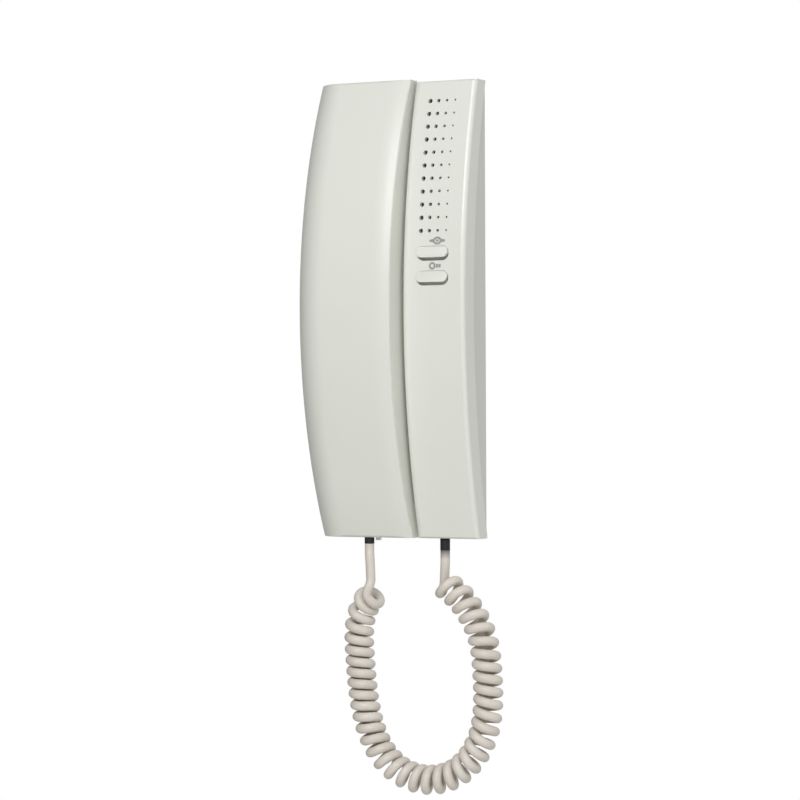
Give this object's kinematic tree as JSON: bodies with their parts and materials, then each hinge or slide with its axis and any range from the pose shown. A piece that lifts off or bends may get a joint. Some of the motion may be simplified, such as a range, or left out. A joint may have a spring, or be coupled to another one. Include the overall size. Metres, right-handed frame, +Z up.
{
  "type": "audio intercom handset",
  "caption": "Off-white wall intercom phone with an arched handset, a strip with speaker grille and push buttons, and a curly cord in a hanging loop.",
  "frame": {"origin": "middle of the wall face, on the wall's surface", "axes": "+Z up, +X to the right seen from the front, +Y into the wall"},
  "size_m": [0.0986, 0.0362, 0.3396],
  "materials": {
    "case_plastic": "satin off-white moulded plastic",
    "cord_plastic": "soft beige-white cord jacket",
    "rubber_black": "matt black rubber",
    "rubber_grey": "matt grey rubber",
    "felt": "dark felt",
    "steel": "plated steel",
    "aluminium": "plain aluminium can",
    "magnet": "dark sintered magnet",
    "speaker_paper": "black paper cone",
    "board_green": "coated circuit board",
    "black_plastic": "matt black plastic",
    "capacitor_sleeve": "dark shrunk sleeve",
    "trimmer_plastic": "blue moulded plastic",
    "terminal_plastic": "green moulded plastic"
  },
  "bodies": {
    "base": {"wall_plate": "case_plastic", "front_cover": "case_plastic", "grille_felt": "felt", "speaker_gasket": "rubber_black", "speaker_frame": "steel", "speaker_cone": "speaker_paper", "speaker_magnet": "magnet", "circuit_board": "board_green", "board_screws": "steel", "sound_chip": "black_plastic", "capacitors": "capacitor_sleeve", "volume_trimmer": "trimmer_plastic", "terminal_block": "terminal_plastic", "terminal_screws": "steel", "door_dome": "rubber_grey", "light_dome": "rubber_grey", "plunger_spring": "steel", "hook_switch": "black_plastic", "cradle_pads": "rubber_grey", "cover_screws": "steel", "base_sleeve": "rubber_black", "base_lead": "cord_plastic", "curly_cord": "cord_plastic"},
    "handset": {"handset_shell": "case_plastic", "handset_back": "case_plastic", "handset_sleeve": "rubber_black", "handset_lead": "cord_plastic", "ear_gasket": "rubber_black", "ear_capsule": "black_plastic", "microphone_boot": "rubber_black", "microphone": "aluminium", "handset_screws": "steel"},
    "door_button": {"door_button": "case_plastic"},
    "light_button": {"light_button": "case_plastic"},
    "hook_plunger": {"hook_plunger": "case_plastic"}
  },
  "joints": [
    {"name": "handset_lift", "type": "slide", "parent": "base", "child": "handset", "axis": [0, -0.8192, 0.5736], "range_m": [0, 0.08], "deforming": ["curly_cord"]},
    {"name": "hook_plunger_rise", "type": "slide", "parent": "base", "child": "hook_plunger", "axis": [0, -1, 0], "range_m": [0, 0.003], "deforming": ["plunger_spring"]},
    {"name": "door_button_press", "type": "slide", "parent": "base", "child": "door_button", "axis": [0, 1, 0], "range_m": [0, 0.001], "stiffness_N_per_m": 1500, "deforming": ["door_dome"]},
    {"name": "light_button_press", "type": "slide", "parent": "base", "child": "light_button", "axis": [0, 1, 0], "range_m": [0, 0.001], "stiffness_N_per_m": 1500, "deforming": ["light_dome"]}
  ],
  "couplings": [
    {"joint": "hook_plunger_rise", "follows": "handset_lift", "ratio": 0.0375}
  ]
}
